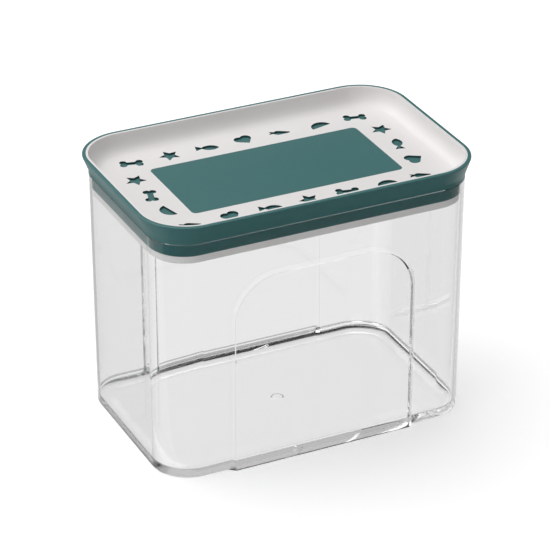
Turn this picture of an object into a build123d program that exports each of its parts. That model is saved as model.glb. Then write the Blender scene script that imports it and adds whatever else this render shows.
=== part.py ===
"""Clear treat container with a press-on, two-colour lid. Millimetres, +Z up.

The origin is the centre of the underside. X runs along the length and Y along the depth, and
the front is at -Y. The box is one clear moulding. The lid is a flared shell with a pale inlay
on top, and a plug underneath that carries the soft seal.
"""

import math
import os
from build123d import *

# Box: outside sizes at its top edge
box_length = 192.0
box_depth = 121.4
box_height = 146.8
box_corner_radius = 22.6
box_draft = 0.28  # degrees that each wall leans out
wall = 2.2
floor_thickness = 2.5
foot_radius = 1.4
lip_chamfer = 0.4

# Hollow cove between the floor and the walls inside the box
cove_reach = 17.0
cove_rise = 6.0

# Arched panel that stands out of the front wall and of the back wall
panel_width = 114.0
panel_top = 121.6
panel_corner_radius = 30.0
panel_proud = 2.0
panel_slope_run = 2.4

# Gate mark of the moulding: a shallow conical dimple under the middle of the floor
gate_radius = 2.1
gate_floor_radius = 1.2
gate_depth = 0.8

# Lid: outside sizes at its top rim
lid_length = 200.0
lid_depth = 129.4
lid_corner_radius = 29.0
lid_height = 11.9
lid_foot_height = 2.0
rim_band_height = 0.8
rim_radius = 0.5
shell_rim_width = 2.1
deck_thickness = 2.1

# Dish in the top of the lid, lined by the inlay
dish_depth = 10.2
dish_draft = 2.5  # degrees
dish_cove_radius = 7.8
inlay_rim_width = 1.3
inlay_wall = 0.95
inlay_floor = 1.2
inlay_back_draft = 9.0  # degrees
inlay_gap = 0.05

# Window in the inlay, filled by a plateau of the shell
window_length = 128.9
window_depth = 60.6
window_corner_radius = 3.0

# Treat shapes cut through the inlay, so that the shell's deck shows as their sunk floor.
# Each row's gap is from the window's edge to the middle of the row
treat_tilt = 14.0  # degrees, left and right by turns
long_row_count = 7
long_row_spacing = 23.4
long_row_gap = 11.4
short_row_count = 3
short_row_spacing = 21.0
short_row_gap = 12.05

bone_length = 13.4
bone_waist = 3.4
bone_knob_radius = 2.1

star_radius = 6.4
star_waist_radius = 3.1
star_points = 5

fish_length = 13.6
fish_body_length = 10.6
fish_height = 6.0
fish_tail_height = 6.0
fish_tail_length = 4.6

heart_side = 6.4

carrot_length = 9.6
carrot_top_radius = 2.6
carrot_tip_radius = 0.8
leaf_length = 3.4
leaf_width = 2.2
leaf_spread = 32.0  # degrees to each side

half_moon_radius = 6.4
half_moon_height = 6.0

# Plug under the lid, with the shelf that holds the seal
seal_clearance = 0.3
seal_thickness = 2.2
seal_height = 8.0
seal_edge = 0.5
plug_clearance = 0.7
plug_wall = 1.8
plug_shelf_thickness = 1.5
plug_skirt_height = 4.4
plug_lead_in = 0.6

# Skirt of the shell inside the plug, with a bead that snaps into the plug's groove
skirt_gap = 0.15
skirt_wall = 1.6
skirt_height = 7.5
snap_depth = 0.5
snap_height = 1.8
snap_drop = 4.6
snap_gap = 0.15

# Overlap that lets joined shapes fuse cleanly
merge = 0.4

# Heights and insets worked out from the sizes above
lid_top = box_height + lid_height
dish_floor = lid_top - dish_depth
deck_top = dish_floor - inlay_floor
deck_bottom = deck_top - deck_thickness
shelf_top = box_height - seal_height
plug_bottom = shelf_top - plug_skirt_height
plug_inset = seal_clearance + seal_thickness
skirt_inset = plug_inset + plug_wall + skirt_gap
long_row_offset = window_depth / 2 + long_row_gap
short_row_offset = window_length / 2 + short_row_gap


def outline(length, depth, radius, height):
    """Level rounded rectangle at a height."""
    return Pos(0, 0, height) * RectangleRounded(length, depth, radius)


def box_outline(inset, height):
    """Outline inside the drafted box walls, inset from their outer face."""
    lean = inset + (box_height - height) * math.tan(math.radians(box_draft))
    return outline(box_length - 2 * lean, box_depth - 2 * lean, box_corner_radius - lean, height)


def rim_outline(inset, height):
    """Outline of the lid's rim, inset from its outer face."""
    return outline(lid_length - 2 * inset, lid_depth - 2 * inset, lid_corner_radius - inset, height)


def mouth_block(inset, bottom, top):
    """Upright block in the box's mouth, inset from the mouth's inner face."""
    reach = wall + inset
    low = outline(
        box_length - 2 * reach, box_depth - 2 * reach, box_corner_radius - reach, bottom
    )
    return extrude(low, amount=top - bottom)


def mouth_ring(inset, width, bottom, top):
    """Upright ring in the box's mouth."""
    return mouth_block(inset, bottom, top) - mouth_block(inset + width, bottom - merge, top + merge)


def box_prism(inset, bottom, top):
    """Drafted block between two heights, inset from the box walls' outer face."""
    return loft([box_outline(inset, bottom), box_outline(inset, top)], ruled=True)


def wall_plane(side, depth):
    """Plane of the front (-1) or back (1) wall, moved outward from the wall's face by depth."""
    draft = math.radians(box_draft)
    half_depth_at_floor = box_depth / 2 - box_height * math.tan(draft)
    outward = Vector(0, side * math.cos(draft), -math.sin(draft))
    origin = Vector(0, side * half_depth_at_floor, 0) + outward * depth
    return Plane(origin=origin, x_dir=(-side, 0, 0), z_dir=outward)


def arch(inset, bottom):
    """Upright sheet with two rounded top corners, inset from the panel's foot on the wall."""
    width = panel_width - 2 * inset
    height = panel_top - inset - bottom
    sheet = Pos(0, bottom + height / 2) * Rectangle(width, height)
    top_corners = sheet.vertices().sort_by(Axis.Y)[-2:]
    return fillet(top_corners, panel_corner_radius - inset)


def arch_block(side, inset, bottom, start):
    """Raised arch with sloped edges, from inside the wall to its face above start."""
    slope = panel_slope_run / panel_proud
    low = wall_plane(side, start - merge) * arch(inset - merge * slope, bottom)
    high = wall_plane(side, start + panel_proud) * arch(inset + panel_proud * slope, bottom)
    return loft([low, high], ruled=True)


def make_cove():
    """Ring that rounds the corner between floor and walls with a quarter of an ellipse."""
    foot = box_outline(wall, floor_thickness)
    at_wall = Vector(0, foot.bounding_box().max.Y, floor_thickness)
    curve = EllipticalCenterArc((-cove_reach, cove_rise), cove_reach, cove_rise, 270, arc_size=90)
    back = Polyline(
        (0, cove_rise),
        (merge, cove_rise),
        (merge, -merge),
        (-cove_reach, -merge),
        (-cove_reach, 0),
    )
    side_view = Plane(origin=at_wall, x_dir=(0, 1, 0), z_dir=(1, 0, 0))
    profile = side_view * make_face([curve, *back.edges()])
    return sweep(profile, path=foot.face().outer_wire())


def make_container():
    """Clear box: drafted walls, an arched panel front and back, a cove round the floor."""
    body = box_prism(0, 0, box_height)
    body = fillet(body.edges().group_by(Axis.Z)[0], foot_radius)
    for side in (-1, 1):
        body += arch_block(side, 0, -foot_radius, 0)
    body -= Pos(0, 0, -box_height / 2) * Box(2 * box_length, 2 * box_depth, box_height)

    # Even walls: the recess behind each panel follows the panel's outside
    slope_angle = math.atan2(panel_proud, panel_slope_run)
    recess_inset = wall * math.tan(slope_angle / 2)
    cavity = box_prism(wall, floor_thickness, box_height)
    for side in (-1, 1):
        cavity += arch_block(side, recess_inset, floor_thickness + cove_rise, -wall)
    body -= cavity
    body += make_cove()

    body -= Pos(0, 0, gate_depth / 2) * Cone(gate_radius, gate_floor_radius, gate_depth)
    return chamfer(body.faces().sort_by(Axis.Z)[-1].edges(), lip_chamfer)


def bone():
    """Treat shape: a bone with two knobs at each end."""
    half = bone_length / 2 - bone_knob_radius
    shape = Rectangle(2 * half, bone_waist)
    for x in (-half, half):
        for y in (-bone_waist / 2, bone_waist / 2):
            shape += Pos(x, y) * Circle(bone_knob_radius)
    return shape


def star():
    """Treat shape: a star biscuit."""
    corners = []
    for index in range(2 * star_points):
        turn = index * math.pi / star_points
        radius = star_waist_radius if index % 2 else star_radius
        corners.append((-radius * math.sin(turn), radius * math.cos(turn)))
    return make_face(Polyline(*corners, close=True))


def fish():
    """Treat shape: a lens-shaped body with a tail."""
    rise = fish_height / 2
    arc_radius = (fish_body_length**2 / 4 + rise**2) / (2 * rise)
    middle = (fish_length - fish_body_length) / 2
    arc_drop = arc_radius - rise
    lower = Pos(middle, arc_drop) * Circle(arc_radius)
    body = lower & (Pos(middle, -arc_drop) * Circle(arc_radius))
    tail_end = -fish_length / 2
    tail_root = (tail_end + fish_tail_length, 0)
    upper_tip = (tail_end, fish_tail_height / 2)
    lower_tip = (tail_end, -fish_tail_height / 2)
    return body + make_face(Polyline(tail_root, upper_tip, lower_tip, close=True))


def heart():
    """Treat shape: a heart made of a square and two discs."""
    lobe = heart_side / (2 * math.sqrt(2))
    shape = Rot(0, 0, 45) * Rectangle(heart_side, heart_side)
    for x in (-lobe, lobe):
        shape += Pos(x, lobe) * Circle(heart_side / 2)
    return shape


def tapered(start_x, start_radius, end_x, end_radius):
    """Rounded taper between two discs on the X axis."""
    discs = (Pos(start_x, 0) * Circle(start_radius), Pos(end_x, 0) * Circle(end_radius))
    return make_hull([disc.edges()[0] for disc in discs])


def carrot():
    """Treat shape: a carrot with two pointed leaves."""
    top = carrot_top_radius - carrot_length / 2
    tip = carrot_length / 2 - carrot_tip_radius
    shape = tapered(top, carrot_top_radius, tip, carrot_tip_radius)
    half = leaf_width / 2
    root = carrot_top_radius / 2
    corners = ((root, half), (-leaf_length / 2, half), (-leaf_length, 0), (root, -half))
    leaf = make_face(Polyline(*corners, close=True))
    for turn in (-leaf_spread, leaf_spread):
        shape += Pos(-carrot_length / 2, 0) * Rot(0, 0, turn) * leaf
    return shape


def half_moon():
    """Treat shape: a half-moon biscuit, flat side down."""
    flat_side = half_moon_radius - half_moon_height
    upper_half = Pos(0, flat_side + half_moon_radius) * Rectangle(
        2 * half_moon_radius, 2 * half_moon_radius
    )
    middle = flat_side + half_moon_height / 2
    return Pos(0, -middle) * (Circle(half_moon_radius) & upper_half)


def treat_places():
    """Places of the treats round the window, in order, with their turns."""
    places = []
    for side in (1, -1):
        for step in range(long_row_count):
            along = (step - (long_row_count - 1) / 2) * long_row_spacing
            places.append((side * along, side * long_row_offset, 0))
        for step in range(short_row_count):
            along = (step - (short_row_count - 1) / 2) * short_row_spacing
            places.append((side * short_row_offset, -side * along, 90))
    return places


def treat_shapes():
    """All treat outlines in their places."""
    kinds = [bone(), star(), fish(), heart(), carrot(), half_moon()]
    shapes = []
    for index, (x, y, turn) in enumerate(treat_places()):
        tilt = treat_tilt * (1 if index % 2 else -1)
        shapes.append(Pos(x, y) * Rot(0, 0, turn + tilt) * kinds[index % len(kinds)])
    return shapes


def tray(rim_inset, draft, floor_height, cove_radius):
    """Solid that fills a tray sunk in the lid's top, with a rounded floor edge."""
    lean = (lid_top - floor_height) * math.tan(math.radians(draft))
    low = rim_outline(rim_inset + lean, floor_height)
    block = loft([low, rim_outline(rim_inset, lid_top)], ruled=True)
    return fillet(block.edges().group_by(Axis.Z)[0], cove_radius)


def snap_bead(inset, depth, height):
    """Ridge round the skirt, sharp at its middle, that stands out of the inset by depth."""
    middle = box_height - snap_drop
    levels = (middle - height / 2, middle, middle + height / 2)
    reaches = (wall + inset, wall + inset - depth, wall + inset)
    rings = []
    for level, reach in zip(levels, reaches):
        length = box_length - 2 * reach
        rings.append(outline(length, box_depth - 2 * reach, box_corner_radius - reach, level))
    lower = loft(rings[:2], ruled=True)
    upper = loft(rings[1:], ruled=True)
    return lower + upper - mouth_block(inset + depth, levels[0] - merge, levels[2] + merge)


def inlay_bed():
    """Tray-shaped space in the shell that the inlay fills."""
    cove_radius = dish_cove_radius + inlay_wall
    return tray(shell_rim_width, inlay_back_draft, deck_top, cove_radius)


def make_lid_shell():
    """Coloured outer lid: foot, flare, rim, deck with a raised plateau, and skirt."""
    foot = box_outline(0, box_height)
    rim = rim_outline(0, lid_top - rim_band_height)
    body = extrude(foot, amount=lid_foot_height)
    body += loft([Pos(0, 0, lid_foot_height) * foot, rim], ruled=True)
    body += extrude(rim, amount=rim_band_height)
    body = fillet(body.edges().group_by(Axis.Z)[-1], rim_radius)
    body -= inlay_bed()
    body += mouth_block(skirt_inset, deck_bottom, box_height + merge)
    body += mouth_ring(skirt_inset, skirt_wall, box_height - skirt_height, box_height)
    body += snap_bead(skirt_inset, snap_depth, snap_height)
    window = outline(
        window_length - 2 * inlay_gap,
        window_depth - 2 * inlay_gap,
        window_corner_radius - inlay_gap,
        deck_top - merge,
    )
    body += extrude(window, amount=inlay_floor + merge)
    return body


def make_lid_inlay():
    """Pale dish liner with a window and treat-shaped holes."""
    rim_width = shell_rim_width + inlay_rim_width
    body = inlay_bed() - tray(rim_width, dish_draft, dish_floor, dish_cove_radius)
    window = outline(window_length, window_depth, window_corner_radius, deck_top - merge)
    body -= extrude(window, amount=inlay_floor + 2 * merge)
    for shape in treat_shapes():
        body -= extrude(Pos(0, 0, deck_top - merge) * shape, amount=inlay_floor + 2 * merge)
    return body


def edge_loop(block, level):
    """Edges of a block at its lowest (0) or highest (-1) level."""
    return block.edges().group_by(Axis.Z)[level]


def make_seal_ring():
    """Soft band, eased at its outer edges, that closes the gap between plug and mouth."""
    band = mouth_block(seal_clearance, shelf_top, box_height)
    band = chamfer(edge_loop(band, 0) + edge_loop(band, -1), seal_edge)
    return band - mouth_block(plug_inset, shelf_top - merge, box_height + merge)


def make_lid_plug():
    """Pale frame under the shell: a wall, a shelf under the seal and a skirt below it."""
    body = mouth_block(plug_clearance, plug_bottom, shelf_top)
    body = chamfer(edge_loop(body, 0), plug_lead_in)
    body += mouth_block(plug_inset, shelf_top, box_height)
    body -= mouth_block(plug_inset + plug_wall, plug_bottom - merge, box_height + merge)
    shelf_bottom = shelf_top - plug_shelf_thickness
    body -= mouth_block(plug_clearance + plug_wall, plug_bottom - merge, shelf_bottom)
    return body - snap_bead(skirt_inset, snap_depth + snap_gap, snap_height + 2 * snap_gap)


if __name__ == "__main__":
    os.makedirs("parts", exist_ok=True)
    export_step(make_container(), "parts/container.step")
    export_step(make_lid_shell(), "parts/lid_shell.step")
    export_step(make_lid_inlay(), "parts/lid_inlay.step")
    export_step(make_seal_ring(), "parts/seal_ring.step")
    export_step(make_lid_plug(), "parts/lid_plug.step")
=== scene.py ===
"""Looks for a clear treat container with a press-on, two-colour lid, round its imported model.

Metres, +Z up. The origin is the centre of the underside, X runs along the length, and the front
is at -Y. The lid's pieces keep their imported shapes, and the clear box is meshed afresh at its packed
sizes. This script gives them their plastics, the studio that lights them and the camera.
"""

import logging
import math
from collections.abc import Mapping
from dataclasses import dataclass, field
from enum import Enum

import bmesh
import bpy
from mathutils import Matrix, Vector


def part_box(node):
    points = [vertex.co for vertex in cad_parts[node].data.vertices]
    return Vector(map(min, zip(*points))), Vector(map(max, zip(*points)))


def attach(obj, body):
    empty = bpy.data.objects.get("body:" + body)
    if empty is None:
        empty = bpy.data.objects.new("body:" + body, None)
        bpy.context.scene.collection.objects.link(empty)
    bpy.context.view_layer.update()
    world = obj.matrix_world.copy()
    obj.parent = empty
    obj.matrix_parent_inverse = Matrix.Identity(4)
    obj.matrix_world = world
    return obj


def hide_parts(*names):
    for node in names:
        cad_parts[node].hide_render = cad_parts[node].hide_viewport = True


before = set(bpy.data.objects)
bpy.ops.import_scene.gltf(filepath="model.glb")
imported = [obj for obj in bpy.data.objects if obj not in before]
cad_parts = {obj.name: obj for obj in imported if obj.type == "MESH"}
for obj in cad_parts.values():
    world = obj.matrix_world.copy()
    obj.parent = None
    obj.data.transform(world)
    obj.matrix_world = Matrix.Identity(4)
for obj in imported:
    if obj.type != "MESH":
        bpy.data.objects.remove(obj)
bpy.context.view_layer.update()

log = logging.getLogger("treat_container")

MM = 0.001
WELD_DISTANCE = 0.001 * MM
CREASE_DEGREES = 25.0
CLEAR_BOUNCES = 40

# Half-way between a path depth of none and of one
BEFORE_FIRST_BOUNCE = 0.5

# Layers of finer and finer noise in each pattern
FLOW_LAYERS = 1.0
GRAIN_LAYERS = 2.0
CLOUD_LAYERS = 3.0

# A grid of this size is one metre square
HALF_METRE = 0.5

Point = tuple[float, float, float]


def linear(colour: str) -> tuple[float, float, float, float]:
    """Turns an sRGB hex colour into linear light.

    Args:
        colour: The colour as "#RRGGBB".

    Returns:
        Red, green, blue and an alpha of 1.
    """
    shares = [int(colour[start:start + 2], 16) / 255 for start in (1, 3, 5)]
    red, green, blue = (
        share / 12.92 if share <= 0.04045 else ((share + 0.055) / 1.055) ** 2.4
        for share in shares
    )
    return red, green, blue, 1.0


def add_node(
    tree: bpy.types.NodeTree,
    kind: str,
    settings: Mapping[str | int, object] | None = None,
    links: Mapping[str | int, bpy.types.NodeSocket] | None = None,
) -> bpy.types.Node:
    """Adds one shader node with its settings and its incoming links.

    Args:
        tree: The node tree that gets the node.
        kind: Blender's name for the kind of node.
        settings: Values for the node's properties, or for its inputs where it has no such property.
        links: The output that feeds each named or numbered input.

    Returns:
        The new node.
    """
    node = tree.nodes.new(kind)
    for name, value in (settings or {}).items():
        if isinstance(name, str) and hasattr(node, name):
            setattr(node, name, value)
        else:
            node.inputs[name].default_value = value
    for name, source in (links or {}).items():
        tree.links.new(source, node.inputs[name])
    return node


def empty_material(name: str) -> tuple[bpy.types.Material, bpy.types.NodeTree]:
    """Makes a material with an empty node tree.

    Args:
        name: The material's name.

    Returns:
        The material and its node tree.
    """
    material = bpy.data.materials.new(name)
    material.use_nodes = True
    material.node_tree.nodes.clear()
    return material, material.node_tree


def mirrored(point: Point) -> Point:
    """The point on the other side of the middle plane."""
    return (-point[0], point[1], point[2])


@dataclass(frozen=True)
class SteelTexture:
    """What a mould's steel leaves on the plastic.

    Attributes:
        grain_mm: Size of one grain of the texture.
        relief_mm: Height of the grain.
        roughness: Mean roughness of the moulded surface.
        spread: How far the roughness wanders from its mean, each way.
    """

    grain_mm: float
    relief_mm: float
    roughness: float
    spread: float


class MouldSteel(Enum):
    """How the steel of the mould was finished.

    Real blasted or stoned grain is about 0.1 mm and less, too fine to show in the render, so it
    is drawn as coarse as given here.
    """

    MIRROR_POLISHED = SteelTexture(grain_mm=24.0, relief_mm=0.0004, roughness=0.012, spread=0.006)
    STONED = SteelTexture(grain_mm=1.2, relief_mm=0.004, roughness=0.24, spread=0.04)
    FINE_BLASTED = SteelTexture(grain_mm=0.6, relief_mm=0.006, roughness=0.42, spread=0.05)


@dataclass(frozen=True)
class ClearPlastic:
    """Clear injection-moulded styrene-acrylonitrile (SAN), polished on both faces.

    The eye sees a hard, glassy wall with bright edges, a faint grey in its depth, and long soft
    waves where the melt flowed.

    Attributes:
        name: The material's name.
        tint: Colour of light that has gone through one wall.
        shade: Colour of the light that one face lets through to the floor, for the shadow.
        ior: Index of refraction.
        steel: The mould's finish.
    """

    name: str
    tint: str
    shade: str
    ior: float
    steel: MouldSteel

    def material(self) -> bpy.types.Material:
        """Makes the Blender material.

        Returns:
            The material.
        """
        steel = self.steel.value
        material, tree = empty_material(self.name)
        place = add_node(tree, "ShaderNodeTexCoord")
        flow = add_node(
            tree,
            "ShaderNodeTexNoise",
            {"Scale": 1 / (steel.grain_mm * MM), "Detail": FLOW_LAYERS},
            {"Vector": place.outputs["Object"]},
        )
        waves = add_node(
            tree,
            "ShaderNodeBump",
            {"Strength": 1.0, "Distance": steel.relief_mm * MM},
            {"Height": flow.outputs[0]},
        )
        gloss = add_node(
            tree,
            "ShaderNodeMapRange",
            {"To Min": steel.roughness - steel.spread, "To Max": steel.roughness + steel.spread},
            {"Value": flow.outputs[0]},
        )
        clear = add_node(
            tree,
            "ShaderNodeBsdfPrincipled",
            {
                "Base Color": linear(self.tint),
                "IOR": self.ior,
                "Transmission Weight": 1.0,
            },
            {"Normal": waves.outputs[0], "Roughness": gloss.outputs[0]},
        )
        see_through = add_node(tree, "ShaderNodeBsdfTransparent", {"Color": linear(self.shade)})
        path = add_node(tree, "ShaderNodeLightPath")
        shader = add_node(
            tree,
            "ShaderNodeMixShader",
            None,
            {0: path.outputs["Is Shadow Ray"], 1: clear.outputs[0], 2: see_through.outputs[0]},
        )
        add_node(tree, "ShaderNodeOutputMaterial", None, {"Surface": shader.outputs[0]})
        return material


@dataclass(frozen=True)
class ColouredPlastic:
    """Opaque injection-moulded plastic, coloured through.

    The eye sees one even colour with the faintest clouds, where the pigment drifted in the melt,
    and a broad soft sheen that the mould's texture breaks up.

    Attributes:
        name: The material's name.
        colour: The plastic's main colour.
        cloud_colour: The colour where the pigment drifted.
        ior: Index of refraction.
        steel: The mould's finish.
        cloud_mm: Size of the clouds.
        mirroring: How strongly the face mirrors. Half is usual, and less is a dusted soft face.
    """

    name: str
    colour: str
    cloud_colour: str
    ior: float
    steel: MouldSteel
    cloud_mm: float = 40.0
    mirroring: float = 0.5

    def material(self) -> bpy.types.Material:
        """Makes the Blender material.

        Returns:
            The material.
        """
        material, tree = empty_material(self.name)
        place = add_node(tree, "ShaderNodeTexCoord")
        colour = self.colour_output(tree, place)
        steel = self.steel.value
        grain = add_node(
            tree,
            "ShaderNodeTexNoise",
            {"Scale": 1 / (steel.grain_mm * MM), "Detail": GRAIN_LAYERS},
            {"Vector": place.outputs["Object"]},
        )
        relief = add_node(
            tree,
            "ShaderNodeBump",
            {"Strength": 1.0, "Distance": steel.relief_mm * MM},
            {"Height": grain.outputs[0]},
        )
        gloss = add_node(
            tree,
            "ShaderNodeMapRange",
            {"To Min": steel.roughness - steel.spread, "To Max": steel.roughness + steel.spread},
            {"Value": grain.outputs[0]},
        )
        body = add_node(
            tree,
            "ShaderNodeBsdfPrincipled",
            {"IOR": self.ior, "Specular IOR Level": self.mirroring},
            {"Base Color": colour, "Normal": relief.outputs[0], "Roughness": gloss.outputs[0]},
        )
        add_node(tree, "ShaderNodeOutputMaterial", None, {"Surface": body.outputs[0]})
        return material

    def colour_output(
        self, tree: bpy.types.NodeTree, place: bpy.types.Node
    ) -> bpy.types.NodeSocket:
        """Makes the nodes that colour the plastic.

        Args:
            tree: The material's node tree.
            place: The texture coordinates.

        Returns:
            The output that carries the colour.
        """
        clouds = add_node(
            tree,
            "ShaderNodeTexNoise",
            {"Scale": 1 / (self.cloud_mm * MM), "Detail": CLOUD_LAYERS},
            {"Vector": place.outputs["Object"]},
        )
        ramp = add_node(tree, "ShaderNodeValToRGB", None, {"Fac": clouds.outputs[0]})
        for element, colour in zip(ramp.color_ramp.elements, (self.colour, self.cloud_colour)):
            element.color = linear(colour)
        return ramp.outputs[0]


@dataclass(frozen=True)
class InlayPlastic(ColouredPlastic):
    """Off-white plastic whose thin cut edges take the shell's teal, darkened further as painted shade.

    Attributes:
        shaded_edge_colour: Colour of the upright walls of the cut-outs: the shell's teal, darkened as
            painted shade.
        floor_top: Height of the dish's floor, in metres. The walls below it are cut edges.
        upright_below: Upward share of a face's normal under which the face counts as upright.
    """

    # Painted shade: the shell's teal, darkened for the walls of the cut-outs
    shaded_edge_colour: str = "#2C4F4E"
    floor_top: float = 0.0
    upright_below: float = 0.3

    def colour_output(
        self, tree: bpy.types.NodeTree, place: bpy.types.Node
    ) -> bpy.types.NodeSocket:
        """Makes the nodes that colour the inlay, and that paint its cut edges apart with painted
        shade.

        Args:
            tree: The material's node tree.
            place: The texture coordinates.

        Returns:
            The output that carries the colour.
        """
        plain = super().colour_output(tree, place)
        facing = add_node(tree, "ShaderNodeNewGeometry")
        facing_parts = add_node(
            tree, "ShaderNodeSeparateXYZ", None, {0: facing.outputs["True Normal"]}
        )
        place_parts = add_node(tree, "ShaderNodeSeparateXYZ", None, {0: place.outputs["Object"]})
        lean = add_node(
            tree, "ShaderNodeMath", {"operation": "ABSOLUTE"}, {0: facing_parts.outputs[2]}
        )
        upright = add_node(
            tree,
            "ShaderNodeMath",
            {"operation": "LESS_THAN", 1: self.upright_below},
            {0: lean.outputs[0]},
        )
        low = add_node(
            tree,
            "ShaderNodeMath",
            {"operation": "LESS_THAN", 1: self.floor_top},
            {0: place_parts.outputs[2]},
        )
        # Upright faces below the dish's floor: the cut edges that get the painted shade
        both = add_node(
            tree,
            "ShaderNodeMath",
            {"operation": "MULTIPLY"},
            {0: upright.outputs[0], 1: low.outputs[0]},
        )
        mixed = add_node(
            tree,
            "ShaderNodeMix",
            {"data_type": "RGBA", 7: linear(self.shaded_edge_colour)},
            {0: both.outputs[0], 6: plain},
        )
        return mixed.outputs[2]


@dataclass(frozen=True)
class StudioPaint:
    """Matt pale paint of the studio floor, which the camera sees as pure white outside shadows.

    Attributes:
        name: The material's name.
        colour: The paint's own colour, which takes the light and the shadows.
        lift: Strength of the white that is added for the camera and for mirroring faces.
        mirrored: Brightness that is seen through the plastic by way of a mirroring face.
    """

    name: str
    colour: str
    lift: float
    mirrored: float

    def material(self) -> bpy.types.Material:
        """Makes the Blender material.

        Returns:
            The material.
        """
        material, tree = empty_material(self.name)
        paint = add_node(tree, "ShaderNodeBsdfDiffuse", {"Color": linear(self.colour)})
        path = add_node(tree, "ShaderNodeLightPath")
        seen = add_node(
            tree,
            "ShaderNodeMath",
            {"operation": "MAXIMUM"},
            {0: path.outputs["Is Camera Ray"], 1: path.outputs["Is Glossy Ray"]},
        )
        strength = add_node(
            tree, "ShaderNodeMath", {"operation": "MULTIPLY", 1: self.lift}, {0: seen.outputs[0]}
        )
        glow = add_node(tree, "ShaderNodeEmission", None, {"Strength": strength.outputs[0]})
        in_the_open = add_node(
            tree, "ShaderNodeAddShader", None, {0: paint.outputs[0], 1: glow.outputs[0]}
        )
        brightness = add_node(
            tree,
            "ShaderNodeMapRange",
            {"To Min": 1.0, "To Max": self.mirrored},
            {"Value": path.outputs["Glossy Depth"]},
        )
        through_plastic = add_node(
            tree, "ShaderNodeEmission", None, {"Strength": brightness.outputs[0]}
        )
        straight_from_camera = add_node(
            tree,
            "ShaderNodeMath",
            {"operation": "LESS_THAN", 1: BEFORE_FIRST_BOUNCE},
            {0: path.outputs["Diffuse Depth"]},
        )
        seen_through = add_node(
            tree,
            "ShaderNodeMath",
            {"operation": "MULTIPLY"},
            {0: path.outputs["Is Transmission Ray"], 1: straight_from_camera.outputs[0]},
        )
        shader = add_node(
            tree,
            "ShaderNodeMixShader",
            None,
            {
                0: seen_through.outputs[0],
                1: in_the_open.outputs[0],
                2: through_plastic.outputs[0],
            },
        )
        add_node(tree, "ShaderNodeOutputMaterial", None, {"Surface": shader.outputs[0]})
        return material


@dataclass
class Moulding:
    """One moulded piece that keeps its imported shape.

    Attributes:
        node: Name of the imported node.
        finish: The plastic that it is moulded in.
    """

    node: str
    finish: ColouredPlastic

    def dress(self) -> bpy.types.Object:
        """Gives the piece its plastic and lets light roll smoothly over its curved faces.

        Returns:
            The piece.
        """
        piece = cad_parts[self.node]
        material = self.finish.material()
        piece.data.materials.clear()
        piece.data.materials.append(material)
        piece.data.shade_smooth()
        weld = piece.modifiers.new("weld", "WELD")
        weld.merge_threshold = WELD_DISTANCE
        split = piece.modifiers.new("crease", "EDGE_SPLIT")
        split.split_angle = math.radians(CREASE_DEGREES)
        flat = piece.modifiers.new("flat faces", "WEIGHTED_NORMAL")
        flat.keep_sharp = True
        log.info("%s: %d faces, %s", self.node, len(piece.data.polygons), material.name)
        return piece


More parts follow.
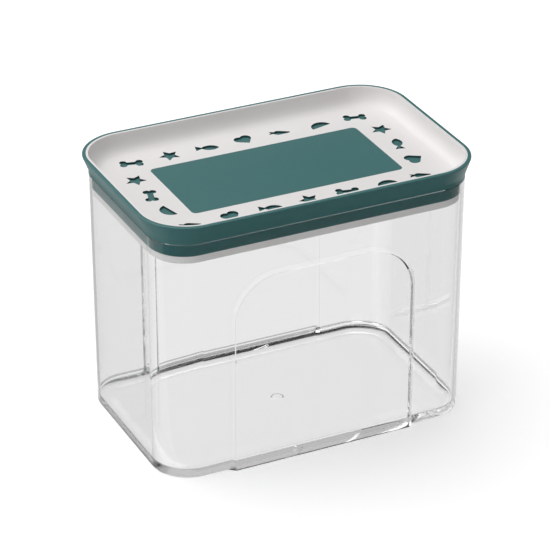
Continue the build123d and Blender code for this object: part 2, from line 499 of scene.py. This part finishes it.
@dataclass
class ClearBox:
    """The clear box, meshed afresh so that its corners and edges bend light smoothly.

    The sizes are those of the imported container, in millimetres, but for a lower cove and a wider
    gate mark. A front feature is made once and turned half round for the back.

    Attributes:
        length: Outside length at the lip.
        depth: Outside depth at the lip.
        height: Height of the lip.
        corner_radius: Outside radius of the upright corners.
        draft: Angle that each wall leans out by, in degrees.
        wall: Thickness of the walls.
        floor: Thickness of the floor.
        foot_radius: Rounding round the underside.
        lip_bevel: Bevel on both edges of the lip.
        cove_reach: How far the cove reaches from the wall over the floor.
        cove_rise: How far the cove rises up the wall.
        panel_width: Width of the arched panel.
        panel_top: Height of the arched panel.
        panel_corner_radius: Radius of the panel's upper corners.
        panel_proud: How far the panel stands out of the wall.
        panel_slope_run: Width of the slope round the panel.
        gate_radius: Radius of the dimple under the floor.
        gate_floor_radius: Radius of the dimple's end.
        gate_depth: Depth of the dimple.
        corner_steps: Faces round each upright corner.
        arch_steps: Faces round each corner of the panel.
        cove_steps: Faces up the cove.
        foot_steps: Faces round the foot's rounding.
        plastic: The box's plastic.
        faces: The faces made so far, in millimetres.
    """

    length: float = 192.0
    depth: float = 121.4
    height: float = 146.8
    corner_radius: float = 22.6
    draft: float = 0.28
    wall: float = 2.2
    floor: float = 2.5
    foot_radius: float = 1.4
    lip_bevel: float = 0.4
    cove_reach: float = 17.0
    cove_rise: float = 3.5
    panel_width: float = 114.0
    panel_top: float = 121.6
    panel_corner_radius: float = 30.0
    panel_proud: float = 2.0
    panel_slope_run: float = 2.4
    gate_radius: float = 3.9
    gate_floor_radius: float = 2.8
    gate_depth: float = 0.8
    corner_steps: int = 24
    arch_steps: int = 20
    cove_steps: int = 12
    foot_steps: int = 6
    plastic: ClearPlastic = ClearPlastic(
        name="san_mirror_polished",
        tint="#FAFAFA",
        shade="#DCDEDE",
        ior=1.57,
        steel=MouldSteel.MIRROR_POLISHED,
    )
    faces: list[list[Point]] = field(default_factory=list)

    def build(self) -> bpy.types.Object:
        """Meshes and dresses the box.

        Returns:
            The box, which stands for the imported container.
        """
        self.add_skin(self.outer_levels(), self.outer_arch())
        self.add_skin(self.inner_levels(), self.inner_arch())
        self.add_lip()
        self.add_floor_top()
        mesh = self.closed_mesh()
        mesh.materials.append(self.plastic.material())
        piece = bpy.data.objects.new("clear_box", mesh)
        bpy.context.scene.collection.objects.link(piece)
        flat = piece.modifiers.new("flat faces", "WEIGHTED_NORMAL")
        flat.keep_sharp = True
        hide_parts("container")
        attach(piece, "box")
        log.info("clear_box: %d faces, %s", len(mesh.polygons), self.plastic.name)
        return piece

    def lean(self, height: float) -> float:
        """How far the wall has leaned in at a height."""
        return (self.height - height) * math.tan(math.radians(self.draft))

    def on_wall(self, along: float, height: float, proud: float) -> Point:
        """A point on the front wall, or proud of it."""
        return (along, self.lean(height) - self.depth / 2 - proud, height)

    def corners(self, inset: float, height: float) -> list[list[Point]]:
        """Works out the four rounded corners at a level.

        Args:
            inset: Distance from the outer face.
            height: The level.

        Returns:
            The points of the front right, back right, back left and front left corners.
        """
        radius = self.corner_radius - inset
        half_length = self.length / 2 - self.lean(height) - self.corner_radius
        half_depth = self.depth / 2 - self.lean(height) - self.corner_radius
        signs = ((1, -1), (1, 1), (-1, 1), (-1, -1))
        corners = []
        for quarter, (x_sign, y_sign) in enumerate(signs):
            turns = [
                math.radians(90 * (quarter - 1 + step / self.corner_steps))
                for step in range(self.corner_steps + 1)
            ]
            corners.append([
                (
                    x_sign * half_length + radius * math.cos(turn),
                    y_sign * half_depth + radius * math.sin(turn),
                    height,
                )
                for turn in turns
            ])
        return corners

    def outer_levels(self) -> list[tuple[float, float]]:
        """Works out the levels of the outer skin, from the underside to the lip's bevel.

        Returns:
            The inset and the height of each level.
        """
        levels = []
        for step in range(self.foot_steps + 1):
            turn = math.radians(90 * step / self.foot_steps)
            inset = self.foot_radius * (1 - math.sin(turn))
            levels.append((inset, self.foot_radius * (1 - math.cos(turn))))
        return [*levels, (0.0, self.height - self.lip_bevel)]

    def inner_levels(self) -> list[tuple[float, float]]:
        """Works out the levels of the inner skin, from the floor over the cove to the lip's bevel.

        Returns:
            The inset and the height of each level.
        """
        levels = []
        for step in range(self.cove_steps + 1):
            turn = math.radians(90 * step / self.cove_steps)
            inset = self.wall + self.cove_reach * (1 - math.sin(turn))
            levels.append((inset, self.floor + self.cove_rise * (1 - math.cos(turn))))
        return [*levels, (self.wall, self.height - self.lip_bevel)]

    def arch_line(self, inset: float, low: float, proud: float) -> list[Point]:
        """One line round the panel, from its lower left end to its lower right end.

        Args:
            inset: Distance inward from the panel's foot on the wall.
            low: Height at which the line starts and ends.
            proud: How far the line lies out of the wall.

        Returns:
            The points of the line.
        """
        radius = self.panel_corner_radius - inset
        across = self.panel_width / 2 - self.panel_corner_radius
        middle = self.panel_top - self.panel_corner_radius
        line = [self.on_wall(inset - self.panel_width / 2, low, proud)]
        for start, side in ((180, -1), (90, 1)):
            for step in range(self.arch_steps + 1):
                turn = math.radians(start - 90 * step / self.arch_steps)
                along = side * across + radius * math.cos(turn)
                line.append(self.on_wall(along, middle + radius * math.sin(turn), proud))
        line.append(self.on_wall(self.panel_width / 2 - inset, low, proud))
        return line

    def outer_arch(self) -> tuple[list[list[Point]], list[Point], list[Point]]:
        """Works out the panel's outline on the outer skin.

        Returns:
            The slope's ends beside each rounding level of the foot, from the underside up, then
            the slope's line on the wall and its line on the panel's face.
        """
        slope = self.panel_slope_run / self.panel_proud
        half = self.panel_width / 2
        ends = []
        for inset, height in self.outer_levels()[:-1]:
            foot = self.on_wall(-half - slope * inset, height, -inset)
            face = self.on_wall(-half + self.panel_slope_run, height, self.panel_proud)
            ends.append([foot, face])
        on_wall = self.arch_line(0.0, self.foot_radius, 0.0)
        on_face = self.arch_line(self.panel_slope_run, self.foot_radius, self.panel_proud)
        return ends, on_wall, on_face

    def inner_arch(self) -> tuple[list[list[Point]], list[Point], list[Point]]:
        """Works out the outline of the recess behind the panel, on the inner skin.

        Returns:
            No ends, then the slope's line on the inner wall and its line on the recess's face.
        """
        inset = self.wall * math.tan(math.atan2(self.panel_proud, self.panel_slope_run) / 2)
        low = self.floor + self.cove_rise
        on_wall = self.arch_line(inset, low, -self.wall)
        on_face = self.arch_line(inset + self.panel_slope_run, low, self.panel_proud - self.wall)
        return [], on_wall, on_face

    def add_turned(self, face: list[Point]) -> None:
        """Adds a face, and the same face turned half round.

        Args:
            face: The face's points in order.
        """
        self.faces.append(face)
        self.faces.append([(-x, -y, z) for x, y, z in face])

    def add_skin(
        self,
        levels: list[tuple[float, float]],
        arch: tuple[list[list[Point]], list[Point], list[Point]],
    ) -> None:
        """Adds one skin of the walls: corners, sides, and the front and back with their arches.

        Args:
            levels: Insets and heights up the skin. The arch stands between the last two.
            arch: The arch's ends at the lower levels, its line on the wall and on its face.
        """
        ends, on_wall, on_face = arch
        loops = [self.corners(inset, height) for inset, height in levels]
        for low, high in zip(loops, loops[1:]):
            for corner in (0, 1):
                steps = zip(low[corner], low[corner][1:], high[corner][1:], high[corner])
                for face in steps:
                    self.add_turned(list(face))
            self.add_turned([low[0][-1], low[1][0], high[1][0], high[0][-1]])
        for low, high in zip(loops[:-2], loops[1:-1]):
            index = loops.index(low)
            if ends:
                for side in (-1, 1):
                    self.add_foot_beside_arch(low, high, ends[index], ends[index + 1], side)
            else:
                extra = [on_wall[-1], on_wall[0]] if high is loops[-2] else []
                self.add_turned([low[3][-1], low[0][0], high[0][0], *extra, high[3][-1]])
        below, above = loops[-2], loops[-1]
        self.add_turned([below[3][-1], *on_wall, below[0][0], above[0][0], above[3][-1]])
        for face in zip(on_wall, on_wall[1:], on_face[1:], on_face):
            self.add_turned(list(face))
        if ends:
            face_foot = [ends[0][1], mirrored(ends[0][1])]
            lower_left = [end[1] for end in ends[:-1]]
            lower_right = [mirrored(point) for point in reversed(lower_left)]
            self.add_turned([*lower_left, *on_face, *lower_right])
            self.add_underside(loops[0], [ends[0][0], *face_foot, mirrored(ends[0][0])])
        else:
            self.add_turned(on_face)
            self.add_turned([on_wall[0], on_face[0], on_face[-1], on_wall[-1]])

    def add_foot_beside_arch(
        self,
        low: list[list[Point]],
        high: list[list[Point]],
        low_end: list[Point],
        high_end: list[Point],
        side: int,
    ) -> None:
        """Adds the rounding of the foot beside the panel, and the end of the panel's slope.

        Args:
            low: Corners at the lower level.
            high: Corners at the upper level.
            low_end: The slope's ends at the lower level.
            high_end: The slope's ends at the upper level.
            side: The left (-1) or right (1) end of the panel.
        """
        if side < 0:
            self.add_turned([low[3][-1], low_end[0], high_end[0], high[3][-1]])
            self.add_turned([low_end[0], low_end[1], high_end[1], high_end[0]])
        else:
            ends = [mirrored(point) for point in (*low_end, *high_end)]
            self.add_turned([low[0][0], ends[0], ends[2], high[0][0]])
            self.add_turned([ends[0], ends[1], ends[3], ends[2]])

    def add_underside(self, corners: list[list[Point]], panel_foot: list[Point]) -> None:
        """Adds the underside with its dimple, as two halves with a triangle at each end between.

        Args:
            corners: The corners at the lowest level.
            panel_foot: The front panel's outline at the lowest level, from left to right.
        """
        turns = [math.pi * step / self.corner_steps for step in range(self.corner_steps + 1)]
        rings = [
            [(radius * math.cos(turn), -radius * math.sin(turn), height) for turn in turns]
            for radius, height in ((self.gate_radius, 0.0), (self.gate_floor_radius, self.gate_depth))
        ]
        front_right, back_right, _, front_left = corners
        self.add_turned([*front_left, *panel_foot, *front_right, *rings[0]])
        self.add_turned([rings[0][0], front_right[-1], back_right[0]])
        for face in zip(rings[0], rings[0][1:], rings[1][1:], rings[1]):
            self.add_turned(list(face))
        self.add_turned(rings[1])

    def add_lip(self) -> None:
        """Adds the flat lip and its two bevels."""
        levels = (
            (0.0, self.height - self.lip_bevel),
            (self.lip_bevel, self.height),
            (self.wall - self.lip_bevel, self.height),
            (self.wall, self.height - self.lip_bevel),
        )
        loops = [sum(self.corners(inset, height), []) for inset, height in levels]
        for low, high in zip(loops, loops[1:]):
            for index in range(len(low)):
                after = (index + 1) % len(low)
                self.faces.append([low[index], low[after], high[after], high[index]])

    def add_floor_top(self) -> None:
        """Adds the flat of the floor inside the cove."""
        self.faces.append(sum(self.corners(self.wall + self.cove_reach, self.floor), []))

    def closed_mesh(self) -> bpy.types.Mesh:
        """Joins the faces into one closed mesh, in metres.

        Returns:
            The mesh, smooth but for its creases.
        """
        shape = bmesh.new()
        for face in self.faces:
            shape.faces.new([shape.verts.new(Vector(point) * MM) for point in face])
        bmesh.ops.remove_doubles(shape, verts=shape.verts, dist=WELD_DISTANCE)
        bmesh.ops.recalc_face_normals(shape, faces=shape.faces)
        open_edges = [edge for edge in shape.edges if not edge.is_manifold]
        if open_edges:
            log.warning("clear_box: %d open edges", len(open_edges))
        mesh = bpy.data.meshes.new("clear_box")
        shape.to_mesh(mesh)
        shape.free()
        mesh.shade_smooth()
        mesh.set_sharp_from_angle(angle=math.radians(CREASE_DEGREES))
        return mesh


@dataclass
class PressOnLid:
    """The lid: a coloured shell, its pale inlay, and the seal on its frame below.

    Attributes:
        dish_depth: Depth of the dish, in millimetres.
        edge_margin: How far under the dish's floor its cut edges begin, in millimetres.
        teal: Plastic of the shell.
        white: Plastic of the plug.
        soft_teal: Plastic of the seal.
    """

    dish_depth: float = 10.2
    edge_margin: float = 0.02
    teal: ColouredPlastic = ColouredPlastic(
        name="polypropylene_teal_blasted",
        colour="#3B6B6B",
        cloud_colour="#3E6F6F",
        ior=1.49,
        steel=MouldSteel.FINE_BLASTED,
    )
    white: ColouredPlastic = ColouredPlastic(
        name="polypropylene_white_stoned",
        colour="#F3F1F0",
        cloud_colour="#F5F4F3",
        ior=1.49,
        steel=MouldSteel.STONED,
    )
    soft_teal: ColouredPlastic = ColouredPlastic(
        name="thermoplastic_elastomer_teal_polished",
        colour="#125A5B",
        cloud_colour="#155E5F",
        ior=1.50,
        steel=MouldSteel.STONED,
        mirroring=0.1,
    )

    def build(self) -> None:
        """Dresses the lid's pieces."""
        rim_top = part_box("lid_inlay")[1].z
        inlay = InlayPlastic(
            name="polypropylene_off_white_blasted",
            colour="#E6E3E2",
            cloud_colour="#E9E7E6",
            ior=1.49,
            steel=MouldSteel.FINE_BLASTED,
            floor_top=rim_top - (self.dish_depth + self.edge_margin) * MM,
        )
        Moulding("lid_shell", self.teal).dress()
        Moulding("lid_inlay", inlay).dress()
        Moulding("seal_ring", self.soft_teal).dress()
        Moulding("lid_plug", self.white).dress()


@dataclass(frozen=True)
class Softbox:
    """A rectangular studio lamp.

    Attributes:
        name: The lamp's name.
        place: Where its middle is, in metres.
        aim: The point that it faces, in metres.
        width: Its width, in metres.
        height: Its height, in metres.
        power: Its power, in watts.
    """

    name: str
    place: Point
    aim: Point
    width: float
    height: float
    power: float

    def build(self) -> None:
        """Makes the lamp."""
        lamp = bpy.data.lights.new(self.name, "AREA")
        lamp.shape = "RECTANGLE"
        lamp.size = self.width
        lamp.size_y = self.height
        lamp.energy = self.power
        holder = bpy.data.objects.new(self.name, lamp)
        bpy.context.scene.collection.objects.link(holder)
        holder.location = self.place
        towards = Vector(self.aim) - Vector(self.place)
        holder.rotation_euler = towards.to_track_quat("-Z", "Y").to_euler()
        log.info("%s: %.1f W", self.name, self.power)


@dataclass(frozen=True)
class ReflectionOnlyCard:
    """A matt sheet, dark or grey, that only mirroring faces see: a painted dark reflection, which
    draws the edges of clear things.

    Attributes:
        name: The card's name.
        place: Where its middle is, in metres.
        width: Its width, in metres.
        height: Its height, in metres.
        tilt: Turn about its width from lying flat, in degrees.
        turn: Turn about the upright, in degrees.
        colour: The card's colour, which mirroring faces show as a painted reflection.
    """

    name: str
    place: Point
    width: float
    height: float
    tilt: float
    turn: float
    colour: str = "#101010"

    def build(self) -> None:
        """Makes the card."""
        mesh = bpy.data.meshes.new(self.name)
        shape = bmesh.new()
        bmesh.ops.create_grid(shape, x_segments=1, y_segments=1, size=HALF_METRE)
        shape.to_mesh(mesh)
        shape.free()
        material, tree = empty_material(self.name + "_painted_reflection")
        reflection_paint = add_node(tree, "ShaderNodeBsdfDiffuse", {"Color": linear(self.colour)})
        add_node(tree, "ShaderNodeOutputMaterial", None, {"Surface": reflection_paint.outputs[0]})
        mesh.materials.append(material)
        card = bpy.data.objects.new(self.name, mesh)
        card.scale = (self.width, self.height, 1.0)
        card.location = self.place
        card.rotation_euler = (math.radians(self.tilt), 0.0, math.radians(self.turn))
        bpy.context.scene.collection.objects.link(card)
        # Hidden from all but mirroring faces: a painted reflection
        card.visible_camera = False
        card.visible_diffuse = False
        card.visible_transmission = False
        card.visible_shadow = False
        log.info("%s: %.1f by %.1f m", self.name, self.width, self.height)


@dataclass
class Studio:
    """Pale floor, soft lamps, even surroundings and the camera.

    Attributes:
        floor_side: Side of the square floor, in metres.
        floor_drop: How far the floor lies under the box, so that the two faces don't coincide.
        surroundings: Brightness of the light that comes from all round.
        paint: The floor's paint.
        lamps: The lamps.
        cards: The cards that mirroring faces alone see, as painted dark reflections.
    """

    floor_side: float = 12.0
    floor_drop: float = 0.1 * MM
    surroundings: float = 0.25
    paint: StudioPaint = StudioPaint("studio_floor_matt_paint", "#E8E8E8", 0.44, 0.55)
    lamps: tuple[Softbox, ...] = (
        Softbox("key_softbox", (-0.35, 0.5, 1.5), (0.0, 0.0, 0.1), 2.2, 1.8, 26.0),
        Softbox("left_softbox", (-1.5, -0.2, 0.5), (0.0, 0.0, 0.12), 0.8, 0.8, 4.0),
        Softbox("front_softbox", (-0.5, -1.5, 0.35), (0.0, 0.0, 0.12), 1.0, 0.5, 2.5),
    )
    # Painted dark reflections, seen only in mirroring faces
    cards: tuple[ReflectionOnlyCard, ...] = (
        ReflectionOnlyCard("front_card", (0.0, -0.465, 0.001), 1.6, 0.8, 0.0, 0.0),
        ReflectionOnlyCard("left_card", (-0.448, 0.335, 0.001), 0.7, 0.8, 0.0, 0.0, "#C0C0C0"),
        ReflectionOnlyCard("back_card", (0.9, 1.9, 1.3), 3.0, 2.2, 90.0, -25.6),
    )

    def build(self) -> None:
        """Makes the cards, the floor, the surroundings and the lamps."""
        for card in self.cards:
            card.build()
        mesh = bpy.data.meshes.new("studio_floor")
        shape = bmesh.new()
        bmesh.ops.create_grid(shape, x_segments=1, y_segments=1, size=self.floor_side / 2)
        shape.to_mesh(mesh)
        shape.free()
        mesh.materials.append(self.paint.material())
        floor = bpy.data.objects.new("studio_floor", mesh)
        floor.location.z = -self.floor_drop
        bpy.context.scene.collection.objects.link(floor)
        self.surround()
        for lamp in self.lamps:
            lamp.build()
        log.info("%s: %.1f m square", floor.name, self.floor_side)

    def surround(self) -> None:
        """Lights the scene evenly from all round, before a white background.

        Mirroring faces show the white a little dimmer, and matt faces get the surroundings.
        """
        world = bpy.data.worlds.new("studio")
        world.use_nodes = True
        tree = world.node_tree
        tree.nodes.clear()
        path = add_node(tree, "ShaderNodeLightPath")
        direct = add_node(
            tree,
            "ShaderNodeMapRange",
            {"To Min": 1.0, "To Max": self.paint.mirrored},
            {"Value": path.outputs["Glossy Depth"]},
        )
        strength = add_node(
            tree,
            "ShaderNodeMapRange",
            {"To Max": self.surroundings},
            {"Value": path.outputs["Diffuse Depth"], "To Min": direct.outputs[0]},
        )
        light = add_node(
            tree,
            "ShaderNodeBackground",
            {"Color": linear("#FFFFFF")},
            {"Strength": strength.outputs[0]},
        )
        add_node(tree, "ShaderNodeOutputWorld", None, {"Surface": light.outputs[0]})
        bpy.context.scene.world = world


@dataclass
class Camera:
    """The photograph's camera: a long lens, from the left and above.

    Attributes:
        aim: The point at the middle of the picture, in metres.
        azimuth: Turn to the left of the object's front, in degrees.
        elevation: Height above level, in degrees.
        distance: From the aim to the lens, in metres.
        focal_mm: Focal length for the sensor width.
        sensor_mm: Width of the sensor.
    """

    aim: Point = (-0.3 * MM, 1.3 * MM, 80.9 * MM)
    azimuth: float = 25.642
    elevation: float = 28.182
    distance: float = 1.663
    focal_mm: float = 191.05
    sensor_mm: float = 36.0

    def build(self) -> None:
        """Makes the camera and gives it to the scene."""
        data = bpy.data.cameras.new("photo_camera")
        data.lens = self.focal_mm
        data.sensor_width = self.sensor_mm
        camera = bpy.data.objects.new("photo_camera", data)
        bpy.context.scene.collection.objects.link(camera)
        turn, rise = math.radians(self.azimuth), math.radians(self.elevation)
        away = Vector(
            (-math.sin(turn) * math.cos(rise), -math.cos(turn) * math.cos(rise), math.sin(rise))
        )
        camera.location = Vector(self.aim) + away * self.distance
        camera.rotation_euler = away.to_track_quat("Z", "Y").to_euler()
        bpy.context.scene.camera = camera
        log.info("camera at %s", tuple(round(x, 4) for x in camera.location))


def let_light_run_through_clear_walls() -> None:
    """Allows as many bounces as light takes from end to end inside the box's thin floor."""
    cycles = bpy.context.scene.cycles
    cycles.max_bounces = CLEAR_BOUNCES
    cycles.glossy_bounces = CLEAR_BOUNCES
    cycles.transmission_bounces = CLEAR_BOUNCES


def main() -> None:
    """Builds the studio, the box and the lid, in order."""
    logging.basicConfig(level=logging.INFO, format="%(name)s: %(message)s")
    bpy.context.scene.view_settings.view_transform = "Standard"
    let_light_run_through_clear_walls()
    Studio().build()
    Camera().build()
    ClearBox().build()
    PressOnLid().build()


if __name__ == "__main__":
    main()
